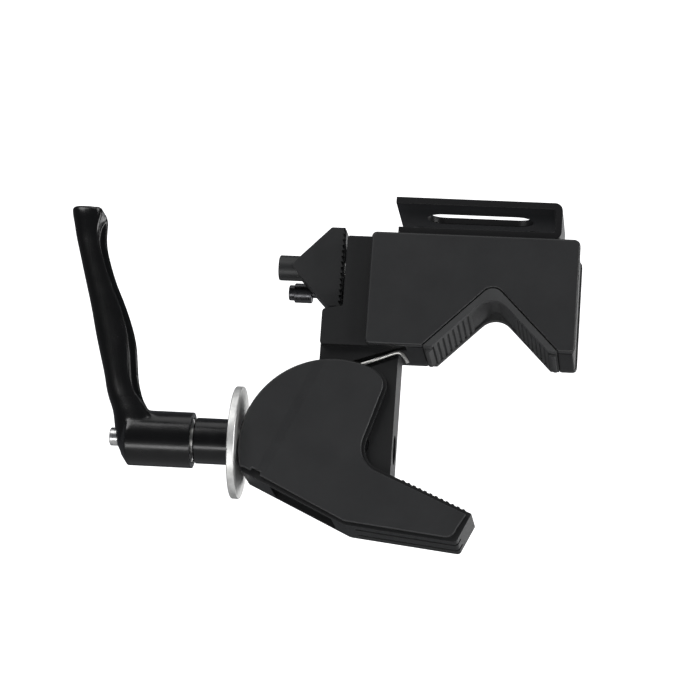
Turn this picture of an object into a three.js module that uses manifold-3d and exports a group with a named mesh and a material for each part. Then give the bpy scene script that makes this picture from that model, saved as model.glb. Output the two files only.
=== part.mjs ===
// Super clamp for stage pipe: a V jaw above, a hinged jaw below, closed by a lever screw.
// Millimetres. Origin at the bottom of the V seat on the middle plane, +X towards the open end
// of the jaws, +Z up, +Y to the rear.
import * as THREE from 'three';
import { mergeVertices } from 'three/addons/utils/BufferGeometryUtils.js';
import Module from 'manifold-3d';

const wasm = await Module();
wasm.setup();

// ---- Driving dimensions ----
const GAP = 0.3;                 // air between touching pieces
const HALF_W = 17;               // half width of the upper jaw over its covers
const COVER_T = 3.7;             // thickness of an upper cover
const CORE_W = HALF_W - COVER_T - GAP;
const TOP = 22.9;                // underside of the bracket's lower flange
const BOTTOM = -21.1;            // underside of the upper jaw
const JAW_END = 32;              // open end of the upper jaw
const COVER_LEFT = -47.4;
const V_APEX = 0.8;              // sharp apex of the seat's flanks, which lie at 45 degrees
const V_R = 2;
const RIM_R = 7.5;               // the fuller corner of the pad's front and rear rims
const RIM_W = 3.2;
const PAD_T = 2.44;              // pad thickness square to a flank
const PAD_FOOT = 1.4;            // how far the pad's feet stand below the upper jaw
const BLOCK = { left: -64.8, shelf: -7.4, upperLeft: -57, top: 21.8 };
const HEX = { x: -46.4, flats: 16.2, floor: -14 };
const SPINE = { left: -59, right: -34.9, halfW: 10, bottom: -71, neck: -30 };
const HINGE = { x: -56.2, z: -37, pinR: 3, boreR: 3.1, bushR: 4.5 };
const SCREW_Z = -58.4;
const SCREW_R = 4.9;
const NUT = { x: -50, r: 6, halfLen: 9.4 };
const WASHER = { x: -96.3, t: 3, r: 21.5 };
const COLLAR = { x: -111.2, r: 8.8 };
const HUB = { left: -141, right: -111.8, r: 10.7 };
const LEVER_WEB = [-123.5, -121.4];   // the wall inside the lever's hub
const ROD = { left: -121, right: -44.5 };
const JAW = { cx: -58.1, cz: -61.7, r: 34.9, halfW: 13, slotHalfW: 10.5 };
const LOBE = { x: -45.3, z: -36.6, r: 7.1 };
const WAIST = { x: -35.9, z: -60.3, r: 8.9 };
const FLANK = -17.2 * Math.PI / 180;    // square to the straight line from the lobe to the waist
const ARM_SLOPE = -22.9 * Math.PI / 180;
const ARM_TIP = [-3.2, -83.7];
const ARM_PAD = { from: 2.5, to: 30.1, bed: 3, teeth: 12 };
const JAW_COVER_T = 1.8;
const RIM = 1.2;                 // how far the casting shows round its cover
const SWEEP_R = 41.3;            // room for the spine inside the lower jaw
const BRACKET = { left: -39.2, right: 24.5, t: 2.6, front: -14.5, rear: 19.5, topZ: 37.6 };
const SLOT = { x0: -28.3, x1: 12.6, y: 5.2, r: 6.3 };
const FAN = { z: 11.3, right: -58.9, shoulder: -64.2, apex: -78.7, half: 15.6, halfT: 5.5 };
const WING_SCREW_R = 2.9;
const WING_HUB = { left: -84, r: 4.9 };
const BUTTON = { y: 9.9, z: 4.1, left: -80.8, right: -71.7, r: 3.8, pinR: 1.7, pinEnd: -42 };
const SPRING_WIRE = 0.65;
const COIL = { r: 6.4, turns: 3.1, pitch: 1.45, yFront: -8.9, pocketR: 8.6, pocketY: -3.5 };
const SEG = 28;

// ---- Materials ----
const finish = (color, roughness, metalness) =>
  new THREE.MeshStandardMaterial({ color, roughness, metalness });
const castBlack = finish(0x1b1c1e, 0.6, 0.3);
const coverBlack = finish(0x2b2c2e, 0.7, 0.0);
const rubber = finish(0x38393b, 0.85, 0.0);
const gloss = finish(0x0c0c0e, 0.25, 0.2);
const steel = finish(0xb9bbbd, 0.35, 1.0);
const sheetBlack = finish(0x1e1f21, 0.55, 0.4);
const brass = finish(0xb08d4a, 0.4, 1.0);

// ---- Solids ----
function solid(geometry) {
  const bare = geometry.clone();
  bare.deleteAttribute('normal');
  bare.deleteAttribute('uv');
  const merged = mergeVertices(bare, 1e-4);
  const triVerts = Uint32Array.from(merged.index.array);
  const build = (tris) => new wasm.Manifold(new wasm.Mesh({
    numProp: 3, vertProperties: Float32Array.from(merged.attributes.position.array), triVerts: tris,
  }));
  const made = build(triVerts);
  if (made.volume() > 0) return made;
  return build(triVerts.reverse());
}

function place(body, name, material, parent = clamp) {
  const mesh = body.getMesh();
  const geometry = new THREE.BufferGeometry();
  geometry.setAttribute('position', new THREE.BufferAttribute(mesh.vertProperties, 3));
  geometry.setIndex(new THREE.BufferAttribute(mesh.triVerts, 1));
  const out = new THREE.Mesh(geometry, material);
  out.name = name;
  parent.add(out);
  return out;
}

// A side-view outline (x, z) made solid between two depths.
function plate(shape, y0, y1, segments = 10) {
  const geometry = new THREE.ExtrudeGeometry(shape, {
    depth: y1 - y0, bevelEnabled: false, curveSegments: segments,
  });
  geometry.rotateX(Math.PI / 2);
  geometry.translate(0, y1, 0);
  return solid(geometry);
}

function box(x0, x1, y0, y1, z0, z1) {
  const geometry = new THREE.BoxGeometry(x1 - x0, y1 - y0, z1 - z0);
  geometry.translate((x0 + x1) / 2, (y0 + y1) / 2, (z0 + z1) / 2);
  return solid(geometry);
}

function rodY(x, z, r, y0, y1, sides = SEG) {
  const geometry = new THREE.CylinderGeometry(r, r, y1 - y0, sides);
  geometry.translate(x, (y0 + y1) / 2, z);
  return solid(geometry);
}

function rodZ(x, y, r, z0, z1, sides = SEG) {
  const geometry = new THREE.CylinderGeometry(r, r, z1 - z0, sides);
  geometry.rotateX(Math.PI / 2);
  geometry.translate(x, y, (z0 + z1) / 2);
  return solid(geometry);
}

// A turned piece about a line along X: points are [x, radius], closed or on the axis.
function turnedX(points, y, z, sides = SEG) {
  const profile = points.map(([x, r]) => new THREE.Vector2(r, x));
  const geometry = new THREE.LatheGeometry(profile, sides);
  geometry.rotateZ(-Math.PI / 2);
  geometry.translate(0, y, z);
  return solid(geometry);
}

function rodX(y, z, r, x0, x1, sides = SEG) {
  return turnedX([[x0, 0], [x0, r], [x1, r], [x1, 0]], y, z, sides);
}

function wire(points, r, steps) {
  const path = new THREE.CatmullRomCurve3(points.map((p) => new THREE.Vector3(...p)), false, 'centripetal');
  const section = new THREE.Shape();
  section.absarc(0, 0, r, 0, 2 * Math.PI);
  return solid(new THREE.ExtrudeGeometry(section, { steps, extrudePath: path, curveSegments: 4 }));
}

// An outline from corners [x, z, radius]; a corner with no radius is sharp.
function outline(corners) {
  const shape = new THREE.Shape();
  const n = corners.length;
  corners.forEach(([x, z, r = 0], i) => {
    const before = corners[(i + n - 1) % n];
    const after = corners[(i + 1) % n];
    const here = new THREE.Vector2(x, z);
    const a = new THREE.Vector2(before[0] - x, before[1] - z).normalize();
    const b = new THREE.Vector2(after[0] - x, after[1] - z).normalize();
    const reach = r / Math.tan(Math.acos(a.dot(b)) / 2);
    const start = here.clone().addScaledVector(a, reach);
    const end = here.clone().addScaledVector(b, reach);
    if (i === 0) shape.moveTo(start.x, start.y);
    else shape.lineTo(start.x, start.y);
    if (r > 0) shape.quadraticCurveTo(x, z, end.x, end.y);
  });
  shape.closePath();
  return shape;
}

// ---- Upper jaw ----
// The V's outline, grown outwards from the seat and closed below at z = low.
function veeOutline(grow, low, r = V_R + grow) {
  const apex = V_APEX + grow * Math.SQRT2;
  const half = apex - low;
  return outline([[-half, low], [0, apex, r], [half, low]]);
}

function veeCut(grow, r = V_R + grow) {
  return plate(veeOutline(grow, BOTTOM - 20, r), -30, 30, 8);
}

function upperCover(y0, y1) {
  const corners = [
    [COVER_LEFT, BOTTOM, 2], [JAW_END, BOTTOM, 1.5], [JAW_END, TOP, 2.5], [COVER_LEFT, TOP, 2],
  ];
  return plate(outline(corners), y0, y1).subtract(veeCut(PAD_T + GAP));
}

const COVER_SCREWS = [[-20, 13], [23, 14], [26, -11]];

function frameCasting() {
  const upper = outline([
    [BLOCK.left, BOTTOM, 1], [JAW_END - 0.6, BOTTOM, 1], [JAW_END - 0.6, TOP, 2],
    [-38, TOP], [-38, BLOCK.top], [BLOCK.upperLeft, BLOCK.top, 1],
    [BLOCK.upperLeft, BLOCK.shelf + 1.5, 1], [BLOCK.left, BLOCK.shelf, 1.5],
  ]);
  const spine = outline([
    [BLOCK.left, BOTTOM + 2], [BLOCK.left, SPINE.neck, 2], [SPINE.left, SPINE.neck - 6, 3],
    [SPINE.left, SPINE.bottom, 5], [SPINE.right, SPINE.bottom, 1],
    [SPINE.right, BOTTOM + 2],
  ]);
  let body = plate(upper, -CORE_W, CORE_W).subtract(veeCut(PAD_T + GAP));
  body = body.add(plate(spine, -SPINE.halfW, SPINE.halfW));
  const hexR = HEX.flats / Math.sqrt(3);
  body = body.subtract(rodZ(HEX.x, 0, hexR, HEX.floor, 40, 6));
  body = body.subtract(rodY(HINGE.x, HINGE.z, HINGE.bushR + GAP, -20, 20));
  body = body.subtract(rodY(HINGE.x, HINGE.z, COIL.pocketR, -20, COIL.pocketY));
  body = body.subtract(legChannel());
  body = body.subtract(rodY(NUT.x, SCREW_Z, NUT.r + GAP, -20, 20));
  body = body.subtract(rodX(0, SCREW_Z, SCREW_R + 0.8, -70, -20));
  body = body.subtract(rodX(0, FAN.z, WING_SCREW_R + GAP, -70, HEX.x));
  body = body.subtract(rodX(BUTTON.y, BUTTON.z, BUTTON.pinR + GAP, -70, BUTTON.pinEnd + 6));
  body = body.subtract(rodX(BUTTON.y, BUTTON.z, 2.9, -60, -55));
  for (const x of BRACKET_SCREWS) body = body.subtract(rodZ(x, BRACKET_SCREW_Y, 2.3, 10, 40, 20));
  for (const [x, z] of COVER_SCREWS) body = body.subtract(rodY(x, z, 1.9, -30, 30, 16));
  return body;
}

// The groove in the spine's front face that the spring's long leg lies in.
function legChannel() {
  const corners = [[-52, -31.5], [-32, -23.6], [-32, -19.4], [-56, -28]];
  return plate(outline(corners), -14, -7.6);
}

function vPad() {
  const low = BOTTOM;
  const band = (y0, y1, z) => plate(veeOutline(PAD_T, z), y0, y1, 8);
  let body = band(-HALF_W, HALF_W, low).add(band(-CORE_W + 1, CORE_W - 1, low - PAD_FOOT)
    .intersect(box(-24.6, 24.6, -20, 20, low - PAD_FOOT, 0)));
  body = body.subtract(veeCut(0));
  for (const [y0, y1] of [[-HALF_W, RIM_W - HALF_W], [HALF_W - RIM_W, HALF_W]]) {
    body = body.add(band(y0, y1, low).subtract(veeCut(0, RIM_R)));
  }
  return body;
}

// ---- Top bracket ----
const BRACKET_SCREWS = [-31, 12];
const BRACKET_SCREW_Y = 0;

function bracket() {
  const { left, right, t, front, rear, topZ } = BRACKET;
  const outer = outline([
    [left, TOP + GAP], [right, TOP + GAP, 3], [right, topZ, 3], [left, topZ], [left, topZ - t],
    [right - t, topZ - t, 1], [right - t, TOP + GAP + t, 1], [left, TOP + GAP + t],
  ]);
  const slot = new THREE.Shape();
  slot.absarc(SLOT.x0 + SLOT.r, 0, SLOT.r, Math.PI / 2, 3 * Math.PI / 2, false);
  slot.absarc(SLOT.x1 - SLOT.r, 0, SLOT.r, -Math.PI / 2, Math.PI / 2, false);
  const through = new THREE.ExtrudeGeometry(slot, { depth: 8, bevelEnabled: false, curveSegments: 14 });
  through.translate(0, SLOT.y, topZ - 5);
  let body = plate(outer, front, rear).subtract(solid(through));
  body = body.subtract(box(left - 1, HEX.x + HEX.flats / 2 + 0.6, front - 1, rear + 1, TOP, TOP + 4));
  for (const x of BRACKET_SCREWS) body = body.subtract(rodZ(x, BRACKET_SCREW_Y, 2.9, 20, 30, 20));
  return body;
}

function bracketScrew(x) {
  const seat = TOP + GAP + BRACKET.t + GAP;
  const head = rodZ(x, BRACKET_SCREW_Y, 4.6, seat, seat + 2.8, 24);
  const shank = rodZ(x, BRACKET_SCREW_Y, 2.0, 11, seat + 1, 20);
  return head.add(shank).subtract(rodZ(x, BRACKET_SCREW_Y, 1.8, seat + 1.3, seat + 4, 6));
}

// ---- Fixings ----
// A socket-head screw along Y: its head sits at y = headY, its shank runs forward.
function screwY(x, z, headY, headT, tipY) {
  const head = rodY(x, z, 2.9, headY - headT, headY, 18);
  const shank = rodY(x, z, 1.5, tipY, headY - headT + 0.5, 12);
  return head.add(shank).subtract(rodY(x, z, 1.3, headY - 1.2, headY + 1, 6));
}

function bush(y0, y1) {
  return rodY(HINGE.x, HINGE.z, HINGE.bushR, y0, y1)
    .subtract(rodY(HINGE.x, HINGE.z, HINGE.boreR, -30, 30));
}

// Turns round the hinge, with a long leg out to the upper jaw.
function torsionSpring() {
  const { r, turns, pitch, yFront } = COIL;
  const startAngle = 112 * Math.PI / 180;
  const points = [[-31.2, yFront - 0.3, -26.2], [-33.6, yFront - 0.1, -22.6], [-35.2, yFront, -22.1],
    [-47.7, yFront, -27.3]];
  for (let i = 0; i <= 44; i += 1) {
    const turned = (i / 44) * turns;
    const a = startAngle + turned * 2 * Math.PI;
    points.push([HINGE.x + r * Math.cos(a), yFront + turned * pitch, HINGE.z + r * Math.sin(a)]);
  }
  return wire(points, SPRING_WIRE, 64);
}

function barrelNut() {
  return rodY(NUT.x, SCREW_Z, NUT.r, -NUT.halfLen, NUT.halfLen)
    .subtract(rodX(0, SCREW_Z, SCREW_R + 0.15, -70, -20));
}

// ---- Lower jaw ----
function jawShape(inset) {
  const lobeR = LOBE.r - inset;
  const waistR = WAIST.r + inset;
  const join = Math.atan2(LOBE.z - JAW.cz, LOBE.x - JAW.cx);
  const arm = new THREE.Vector2(Math.cos(ARM_SLOPE), Math.sin(ARM_SLOPE));
  const down = new THREE.Vector2(arm.y, -arm.x);
  const touch = new THREE.Vector2(WAIST.x, WAIST.z).addScaledVector(down, waistR);
  const shape = new THREE.Shape();
  const start = 195 * Math.PI / 180;
  shape.absarc(JAW.cx, JAW.cz, JAW.r - inset * 0.4, start, join, true);
  shape.absarc(LOBE.x, LOBE.z, lobeR, join, FLANK, true);
  shape.absarc(WAIST.x, WAIST.z, waistR, FLANK + Math.PI, Math.atan2(down.y, down.x) + 2 * Math.PI);
  const tipX = ARM_TIP[0] - inset * 1.5;
  shape.lineTo(tipX, touch.y + (tipX - touch.x) * Math.tan(ARM_SLOPE));
  shape.lineTo(-8.0 - inset, -93.0 + inset * 0.4);
  shape.quadraticCurveTo(-9.0 - inset, -95.4 + inset, -12.4 - inset, -94.9 + inset);
  shape.lineTo(-46, -91.2 + inset);
  shape.quadraticCurveTo(-50.5, -90.4 + inset, -57.2, -86.5 + inset);
  shape.lineTo(-91 + inset, -71.9 + inset);
  shape.closePath();
  return shape;
}

const JAW_COVER_SCREWS = [[-80, -50], [-24, -84]];
const JAW_SCREW_TIP = 10.8;      // short screws: they stay inside the rear cheek

// The arm's gripping face seen from the side, from the waist to the tip, with a depth below it.
function armStrip(rise, depth, from, to) {
  const along = (s, t) => [
    ARM_TIP[0] - Math.cos(ARM_SLOPE) * s - Math.sin(ARM_SLOPE) * t,
    ARM_TIP[1] - Math.sin(ARM_SLOPE) * s + Math.cos(ARM_SLOPE) * t,
  ];
  return outline([along(from, -depth), along(to, -depth), along(to, rise), along(from, rise)]);
}

function movingJaw() {
  const { halfW, slotHalfW } = JAW;
  let body = plate(jawShape(0), -halfW, halfW, 14);
  let inside = rodY(HINGE.x, HINGE.z, SWEEP_R, -slotHalfW, slotHalfW, 56);
  inside = inside.add(box(-80, -56, -slotHalfW, slotHalfW, -95, -70));
  inside = inside.add(box(-110, -70, -slotHalfW, slotHalfW, SCREW_Z - 6.2, -20));
  body = body.subtract(inside);
  body = body.subtract(rodY(HINGE.x, HINGE.z, HINGE.pinR + 0.02, -20, 20));
  const recess = armStrip(4, ARM_PAD.bed + GAP, ARM_PAD.from - GAP, ARM_PAD.to + GAP);
  body = body.subtract(plate(recess, -slotHalfW, slotHalfW));
  for (const y of [-5.6, 5.6]) body = body.subtract(bottomGroove(y));
  for (const [x, z] of JAW_COVER_SCREWS) body = body.subtract(rodY(x, z, 1.8, JAW_SCREW_TIP - 0.3, 20, 16));
  return body;
}

function bottomGroove(y) {
  const shape = outline([[-47, -89.9], [-14.5, -93.6, 1], [-7.5, -91.4], [-4, -100], [-47, -97]]);
  return plate(shape, y - 1.5, y + 1.5);
}

function jawCover(y0, y1) {
  return plate(jawShape(RIM), y0, y1, 14);
}

// The ribbed pad let into the arm.
function jawPad() {
  const { from, to, bed, teeth } = ARM_PAD;
  const half = JAW.slotHalfW - GAP;
  let body = plate(armStrip(-0.2, bed, from, to), -half, half);
  const pitch = (to - from) / teeth;
  for (let i = 0; i < teeth; i += 1) {
    const rib = armStrip(0.7, 2, from + (i + 0.25) * pitch, from + (i + 0.75) * pitch);
    body = body.add(plate(rib, -half, half));
  }
  return body;
}

// ---- Clamping screw and lever ----
function clampScrew() {
  const points = [[ROD.left, 0], [ROD.left, SCREW_R], [ROD.right - 1.2, SCREW_R],
    [ROD.right, SCREW_R - 1.2], [ROD.right, 0]];
  return turnedX(points, 0, SCREW_Z).subtract(rodX(0, SCREW_Z, 1.9, -130, -109));
}

function ring(x0, x1, r, bore, chamfer = 0.5) {
  const points = [[x0, bore], [x0, r - chamfer], [x0 + chamfer, r], [x1 - chamfer, r],
    [x1, r - chamfer], [x1, bore], [x0, bore]];
  return turnedX(points, 0, SCREW_Z);
}

// A toothed insert on the rod; its teeth drop into the hub, and lifting the lever frees them.
function ratchetInsert() {
  return turnedX([[-119.5, SCREW_R + GAP], [-119.5, 7], [-113.6, 7], [-113.6, 8.2], [-112.4, 8.2],
    [-112.4, SCREW_R + GAP], [-119.5, SCREW_R + GAP]], 0, SCREW_Z);
}

// The arm as stations up its length: [z, left x, right x, half width].
const LEVER_STATIONS = [
  [-67.2, -138.0, -128, 7.5], [-60, -141.6, -120, 9.2], [-50, -143.4, -120, 9.4], [-44, -145.8, -133.6, 8.8],
  [-34, -148.6, -136.2, 7.8], [-20, -152.8, -138.1, 7.2], [-8, -156.0, -142.3, 6.8], [4, -159.6, -147.9, 6.4],
  [16, -163.2, -151.9, 6.1], [24, -165.6, -153.4, 6.2], [30, -166.8, -153.9, 6.5], [33, -166.9, -155.4, 6.2],
];

// One closed loft through rounded sections.
function loft(stations, sides) {
  const positions = [];
  const index = [];
  const n = stations.length;
  stations.forEach(([z, x0, x1, half]) => {
    for (let i = 0; i < sides; i += 1) {
      const a = (i / sides) * 2 * Math.PI;
      const soft = (v) => Math.sign(v) * Math.abs(v) ** 0.7;
      positions.push((x0 + x1) / 2 + (x1 - x0) / 2 * soft(Math.cos(a)), half * soft(Math.sin(a)), z);
    }
  });
  for (let s = 0; s < n - 1; s += 1) {
    for (let i = 0; i < sides; i += 1) {
      const a = s * sides + i;
      const b = s * sides + (i + 1) % sides;
      index.push(a, b, b + sides, a, b + sides, a + sides);
    }
  }
  for (let i = 1; i < sides - 1; i += 1) {
    index.push(0, i + 1, i);
    const top = (n - 1) * sides;
    index.push(top, top + i, top + i + 1);
  }
  const geometry = new THREE.BufferGeometry();
  geometry.setAttribute('position', new THREE.Float32BufferAttribute(positions, 3));
  geometry.setIndex(index);
  return solid(geometry);
}

function lever() {
  const { left, right, r } = HUB;
  const hub = turnedX([[left + 1.5, 0], [left + 2.5, 6.5], [left + 5.5, r], [right - 0.6, r],
    [right, r - 0.6], [right, 0]], 0, SCREW_Z);
  let body = loft(LEVER_STATIONS, 20).add(hub);
  body = body.subtract(rodX(0, SCREW_Z, 7.4, -120.2, -100));
  body = body.subtract(rodX(0, SCREW_Z, 8.6, -113.9, -100));
  body = body.subtract(rodX(0, SCREW_Z, SCREW_R + GAP, LEVER_WEB[1], -100));
  body = body.subtract(rodX(0, SCREW_Z, 2.1, LEVER_WEB[0] - 1, -100));
  return body.subtract(rodX(0, SCREW_Z, 3.8, -160, LEVER_WEB[0]));
}

// The screw that holds the lever on: its head shows at the hub's end, and the spring round its
// shank pushes the lever's web against the rod.
function leverScrew() {
  return turnedX([[-144.2, 0], [-144.2, 3.1], [-143.8, 3.5], [-138.5, 3.5], [-138.5, 1.6],
    [-110, 1.6], [-110, 0]], 0, SCREW_Z).subtract(rodX(0, SCREW_Z, 1.5, -150, -142.4, 6));
}

function leverSpring() {
  return ring(-138.2, LEVER_WEB[0] - 1.4, 3.4, 2.1, 0.2);
}

function springSeat() {
  return ring(LEVER_WEB[0] - 1.1, LEVER_WEB[0] - GAP, 3.4, 2.1, 0.1);
}

// ---- Stud receiver locks ----
function wingKnob() {
  const { z, right, shoulder, apex, half, halfT } = FAN;
  const teeth = 14;
  const pitch = 2 * half / teeth;
  const corners = [[shoulder, z + half, 1], [apex + 3.6, z + 4.2, 1], [apex, z], [apex + 3.6, z - 4.2, 1],
    [shoulder, z - half, 1]];
  for (let i = 0; i < teeth; i += 1) {
    const low = z - half + i * pitch;
    corners.push([right, low], [right - 0.9, low + 0.9 * pitch]);
  }
  corners.push([right, z + half]);
  let body = plate(outline(corners), -halfT, halfT);
  body = body.add(turnedX([[WING_HUB.left, 0], [WING_HUB.left, WING_HUB.r - 0.5],
    [WING_HUB.left + 0.5, WING_HUB.r], [-64.4, WING_HUB.r], [-64.4, 0]], 0, z));
  return body.subtract(rodX(0, z, WING_SCREW_R + GAP, -71.8, -50, 20));
}

function wingScrew() {
  return rodX(0, FAN.z, WING_SCREW_R, -71.5, -55.2, 20);
}

function buttonHead() {
  const { y, z, left, right, r, pinR, pinEnd } = BUTTON;
  const points = [[left, 0], [left, r - 1.1], [left + 0.4, r - 0.8], [left + 2.2, r - 0.8],
    [left + 2.2, r - 0.3], [left + 2.6, r], [right - 0.4, r], [right, r - 0.4], [right, pinR],
    [pinEnd, pinR], [pinEnd, 0]];
  return turnedX(points, y, z, 28);
}

// ---- Assembly ----
const clamp = new THREE.Group();
clamp.name = 'pipe_clamp';

place(frameCasting(), 'frame_casting', castBlack);
const coverInner = HALF_W - COVER_T;
place(upperCover(-HALF_W, -coverInner), 'front_cover', coverBlack);
let rearCover = upperCover(coverInner, HALF_W);
for (const [x, z] of COVER_SCREWS) {
  rearCover = rearCover.subtract(rodY(x, z, 1.9, 0, 30, 16));
  rearCover = rearCover.subtract(rodY(x, z, 3.2, HALF_W - 2.4, 30, 24));
}
place(rearCover, 'rear_cover', coverBlack);
COVER_SCREWS.forEach(([x, z], i) => {
  place(screwY(x, z, HALF_W - 0.2, 1.9, -CORE_W + 1), `cover_screw_${i + 1}`, steel);
});
place(vPad(), 'v_pad', rubber);
place(bracket(), 'top_bracket', sheetBlack);
BRACKET_SCREWS.forEach((x, i) => place(bracketScrew(x), `bracket_screw_${i + 1}`, steel));
place(bush(-3.2, 3.1), 'hinge_bush_front', brass);
place(bush(3.4, 9.8), 'hinge_bush_rear', brass);
place(torsionSpring(), 'torsion_spring', steel);
place(barrelNut(), 'barrel_nut', steel);

place(movingJaw(), 'moving_jaw', castBlack);
place(jawCover(-JAW.halfW - GAP - JAW_COVER_T, -JAW.halfW - GAP), 'jaw_front_cover', coverBlack);
let jawRear = jawCover(JAW.halfW + GAP, JAW.halfW + GAP + JAW_COVER_T);
for (const [x, z] of JAW_COVER_SCREWS) jawRear = jawRear.subtract(rodY(x, z, 1.8, 0, 30, 16));
place(jawRear, 'jaw_rear_cover', coverBlack);
JAW_COVER_SCREWS.forEach(([x, z], i) => {
  const seat = JAW.halfW + GAP + JAW_COVER_T + GAP;
  place(screwY(x, z, seat + 1.6, 1.6, JAW_SCREW_TIP), `jaw_cover_screw_${i + 1}`, steel);
});
place(jawPad(), 'jaw_pad', rubber);
place(rodY(HINGE.x, HINGE.z, HINGE.pinR, -JAW.halfW + 0.1, JAW.halfW - 0.1), 'hinge_pin', steel);

place(ring(WASHER.x, WASHER.x + WASHER.t, WASHER.r, SCREW_R + 0.4), 'thrust_washer', steel);
place(clampScrew(), 'clamp_screw', steel);
place(ring(COLLAR.x, WASHER.x - GAP, COLLAR.r, SCREW_R + 0.3), 'screw_collar', gloss);
place(ratchetInsert(), 'ratchet_insert', steel);
place(leverScrew(), 'lever_screw', steel);
place(leverSpring(), 'lever_spring', steel);
place(springSeat(), 'spring_seat', steel);
place(lever(), 'lever_handle', gloss);

place(wingKnob(), 'wing_knob', castBlack);
place(wingScrew(), 'wing_screw', steel);
place(rodX(0, FAN.z, WING_SCREW_R, -54.9, -53.2, 20), 'lock_plug', brass);
place(buttonHead(), 'lock_button', sheetBlack);
place(turnedX([[-59.8, 1.9], [-59.8, 2.6], [-55.2, 2.6], [-55.2, 1.9], [-59.8, 1.9]],
  BUTTON.y, BUTTON.z, 20), 'button_spring', steel);

export default clamp;
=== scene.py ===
"""Looks for the pipe clamp: rounded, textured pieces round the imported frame.

The frame's axes: +X to the open end of the jaws, +Z up to the bracket, +Y to the rear.
Sizes are millimetres, apart from the stage, the camera and the lights, which are metres.
"""

import math

import bmesh
import bpy
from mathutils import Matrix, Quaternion, Vector


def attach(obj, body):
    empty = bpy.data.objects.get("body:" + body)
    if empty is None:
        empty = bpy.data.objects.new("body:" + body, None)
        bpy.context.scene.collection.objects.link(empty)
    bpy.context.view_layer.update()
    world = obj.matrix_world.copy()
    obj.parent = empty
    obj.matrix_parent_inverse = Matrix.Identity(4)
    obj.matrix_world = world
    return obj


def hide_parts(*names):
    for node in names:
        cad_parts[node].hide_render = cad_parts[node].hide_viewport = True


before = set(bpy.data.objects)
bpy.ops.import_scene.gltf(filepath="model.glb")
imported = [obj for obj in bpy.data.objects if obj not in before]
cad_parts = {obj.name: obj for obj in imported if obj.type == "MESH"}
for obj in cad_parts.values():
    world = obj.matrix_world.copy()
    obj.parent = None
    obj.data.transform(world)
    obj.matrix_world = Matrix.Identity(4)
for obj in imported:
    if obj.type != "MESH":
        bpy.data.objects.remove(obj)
MM = 0.001

# ---- Driving dimensions (mm) ----
GAP = 0.3
HALF_W, COVER_T = 17.0, 3.7
CORE_W = HALF_W - COVER_T - GAP
TOP, BOTTOM, JAW_END, COVER_LEFT = 22.9, -21.1, 32.0, -47.4
V_APEX, V_R, PAD_T, PAD_FOOT = 0.8, 2.0, 2.44, 1.4
RIM_R, RIM_W, BED_DEPTH, FOOT_END = 7.5, 3.2, 0.8, 24.6
RIBS, RIB_START, RIB_PITCH = 8, 11.2, 2.5
BLOCK_LEFT, BLOCK_SHELF, BLOCK_UPPER, BLOCK_TOP = -64.8, -7.4, -57.0, 21.8
HEX_X, HEX_FLATS, HEX_FLOOR = -46.4, 16.2, -14.0
SPINE_LEFT, SPINE_RIGHT, SPINE_HALF = -59.0, -34.9, 10.0
SPINE_BOTTOM, SPINE_NECK = -71.0, -30.0
HINGE_X, HINGE_Z, PIN_R, BUSH_R = -56.2, -37.0, 3.0, 4.5
SCREW_Z, SCREW_R = -58.4, 4.9
THREAD_START, THREAD_END, NECK_END, THREAD_PITCH, THREAD_DEPTH = -109, -44.5, -121, 1.5, 0.8
WASHER_LEFT, WASHER_RIGHT, WASHER_R = -96.3, -93.3, 21.5
NUT_X, NUT_R = -50.0, 6.0
JAW_X, JAW_Z, JAW_R, JAW_HALF, JAW_SLOT = -58.1, -61.7, 34.9, 13.0, 10.5
LOBE_X, LOBE_Z, LOBE_R = -45.3, -36.6, 7.1
WAIST_X, WAIST_Z, WAIST_R = -35.9, -60.3, 8.9
FLANK = -17.2  # degrees: square to the straight edge from the lobe to the waist
ARM_SLOPE = math.radians(-22.9)
ARM_TIP, ARM_TOE, HEEL, BACK_LOW = (-3.2, -83.7), (-8.0, -95.0), (-51.0, -90.4), (-91.0, -71.9)
ARM_UNDER, BELLY = (-40, -91.9), (-60, -85.3)
PAD_FROM, PAD_TO, PAD_BED, PAD_TEETH = 2.5, 30.1, 3.0, 12
JAW_COVER_T, RIM, SWEEP_R = 1.8, 1.2, 41.3
BRACKET_LEFT, BRACKET_RIGHT, BRACKET_T, BRACKET_TOP = -39.2, 24.5, 2.6, 37.6
BRACKET_FRONT, BRACKET_REAR = -14.5, 19.5
SLOT_X0, SLOT_X1, SLOT_Y, SLOT_R = -28.3, 12.6, 5.2, 6.3
FAN_Z, FAN_RIGHT, FAN_SHOULDER, FAN_APEX, FAN_HALF, FAN_T = 11.3, -58.9, -64.2, -78.7, 15.6, 5.5
HUB_LEFT, HUB_RIGHT, HUB_R = -141.0, -111.8, 10.7
HUB_FACE, HUB_CUP_R, HUB_CUP_END = 0.35, 8.6, -113.9
INSERT_R, INSERT_END, SCREW_BORE_END, SHANK_BORE_R = 7.4, -120.2, -121.4, 2.1
SPRING_BORE_R, SPRING_BORE_END = 3.8, -123.5
BUTTON_Y, BUTTON_Z = 9.9, 4.1
BUTTON_BORE_R, BUTTON_SPRING_BORE_R, WING_BORE_R = 2.0, 2.9, 3.2
COIL_R, COIL_TURNS, COIL_PITCH, COIL_FRONT = 6.4, 3.1, 1.45, -8.9
COIL_ROOM_R, COIL_ROOM_END, COIL_START, HINGE_WIRE_R = 8.6, -3.5, 112, 0.65
COVER_SCREW_BORE, COVER_HEAD_BORE, COVER_HEAD_SUNK = 1.9, 3.2, 2.4
JAW_SCREW_BORE, BRACKET_SCREW_BORE, BRACKET_CLEAR_BORE = 1.8, 2.3, 2.9
COVER_SCREWS = [(-20, 13), (23, 14), (26, -11)]
JAW_SCREWS = [(-80, -50), (-24, -84)]
BRACKET_SCREWS = [-31, 12]
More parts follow.
